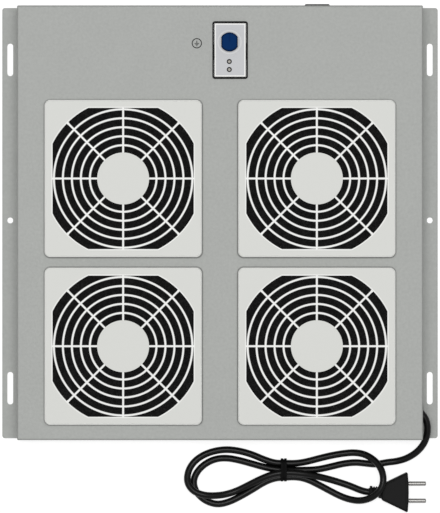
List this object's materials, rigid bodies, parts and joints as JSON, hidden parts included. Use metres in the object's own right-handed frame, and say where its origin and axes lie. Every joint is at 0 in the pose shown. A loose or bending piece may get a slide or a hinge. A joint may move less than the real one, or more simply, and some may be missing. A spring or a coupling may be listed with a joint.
{
  "type": "rack fan tray",
  "caption": "Flat steel fan tray for a 19 inch cabinet, with axial fans under ring-grille filter guards, a thermostat and a mains lead.",
  "frame": {"origin": "bottom centre of the tray without its lead: the middle of the box, at the underside of the rail flanges", "axes": "+X to the right across the rack, +Y from the lead end to the thermostat end, +Z out of the face with the guards"},
  "size_m": [0.4826, 0.5583, 0.055],
  "materials": {
    "pan_paint": "light grey fine-textured powder coat on folded steel sheet",
    "guard_plastic": "pale warm grey ABS, satin",
    "base_plastic": "mid grey ABS",
    "filter_foam": "black open-cell filter foam",
    "fan_casting": "die-cast aluminium, black paint",
    "rotor_black": "black painted sheet steel blades and rotor cup",
    "winding": "varnished winding on lamination",
    "bright_steel": "ground or zinc plated steel",
    "thermostat_case": "pale lavender grey moulded plastic",
    "bezel_black": "black plastic edge frame",
    "knob_blue": "deep blue setting knob",
    "terminal_white": "natural white polyamide",
    "lead_black": "black PVC sheath, slightly satin",
    "grommet_rubber": "black rubber",
    "tie_black": "black nylon",
    "plug_black": "black moulded PVC plug",
    "pin_nickel": "nickel plated brass pins"
  },
  "bodies": {
    "tray": {"chassis_pan": "pan_paint", "side_rail_left": "pan_paint", "side_rail_right": "pan_paint", "fan_frame_1": "fan_casting", "fan_stator_1": "winding", "fan_bearings_1": "bright_steel", "guard_base_1": "base_plastic", "filter_pad_1": "filter_foam", "fan_frame_2": "fan_casting", "fan_stator_2": "winding", "fan_bearings_2": "bright_steel", "guard_base_2": "base_plastic", "filter_pad_2": "filter_foam", "fan_frame_3": "fan_casting", "fan_stator_3": "winding", "fan_bearings_3": "bright_steel", "guard_base_3": "base_plastic", "filter_pad_3": "filter_foam", "fan_frame_4": "fan_casting", "fan_stator_4": "winding", "fan_bearings_4": "bright_steel", "guard_base_4": "base_plastic", "filter_pad_4": "filter_foam", "guard_screws": "bright_steel", "guard_nuts": "bright_steel", "thermostat_body": "thermostat_case", "thermostat_bezel": "bezel_black", "thermostat_terminals": "bright_steel", "thermostat_bracket": "bright_steel", "weld_studs": "bright_steel", "stud_nuts": "bright_steel", "earth_stud": "bright_steel", "earth_nuts": "bright_steel", "terminal_block": "terminal_white", "terminal_screws": "bright_steel", "lead_clamp": "tie_black", "cord_grommet": "grommet_rubber", "mains_lead_inner": "lead_black", "rear_plug": "bezel_black", "mains_cord": "lead_black", "cord_hank": "lead_black", "cord_tie": "tie_black", "plug_body": "plug_black", "plug_pins": "pin_nickel", "plug_strain_relief": "plug_black"},
    "fan_1_rotor": {"fan_rotor_1": "rotor_black", "fan_shaft_1": "bright_steel"},
    "guard_1_cover": {"guard_cover_1": "guard_plastic"},
    "fan_2_rotor": {"fan_rotor_2": "rotor_black", "fan_shaft_2": "bright_steel"},
    "guard_2_cover": {"guard_cover_2": "guard_plastic"},
    "fan_3_rotor": {"fan_rotor_3": "rotor_black", "fan_shaft_3": "bright_steel"},
    "guard_3_cover": {"guard_cover_3": "guard_plastic"},
    "fan_4_rotor": {"fan_rotor_4": "rotor_black", "fan_shaft_4": "bright_steel"},
    "guard_4_cover": {"guard_cover_4": "guard_plastic"},
    "knob": {"thermostat_knob": "knob_blue"}
  },
  "joints": [
    {"name": "fan_1_spin", "type": "hinge", "parent": "tray", "child": "fan_1_rotor", "pos_m": [-0.1059, 0.0478, 0.025], "axis": [0, 0, 1], "continuous": true},
    {"name": "guard_1_lift", "type": "slide", "parent": "tray", "child": "guard_1_cover", "axis": [0, 0, 1], "range_m": [0, 0.03]},
    {"name": "fan_2_spin", "type": "hinge", "parent": "tray", "child": "fan_2_rotor", "pos_m": [0.1059, 0.0478, 0.025], "axis": [0, 0, 1], "continuous": true},
    {"name": "guard_2_lift", "type": "slide", "parent": "tray", "child": "guard_2_cover", "axis": [0, 0, 1], "range_m": [0, 0.03]},
    {"name": "fan_3_spin", "type": "hinge", "parent": "tray", "child": "fan_3_rotor", "pos_m": [-0.1059, -0.1356, 0.025], "axis": [0, 0, 1], "continuous": true},
    {"name": "guard_3_lift", "type": "slide", "parent": "tray", "child": "guard_3_cover", "axis": [0, 0, 1], "range_m": [0, 0.03]},
    {"name": "fan_4_spin", "type": "hinge", "parent": "tray", "child": "fan_4_rotor", "pos_m": [0.1059, -0.1356, 0.025], "axis": [0, 0, 1], "continuous": true},
    {"name": "guard_4_lift", "type": "slide", "parent": "tray", "child": "guard_4_cover", "axis": [0, 0, 1], "range_m": [0, 0.03]},
    {"name": "thermostat_turn", "type": "hinge", "parent": "tray", "child": "knob", "pos_m": [0.0104, 0.1975, 0.046], "axis": [0, 0, 1], "range_deg": [-135, 135]}
  ]
}
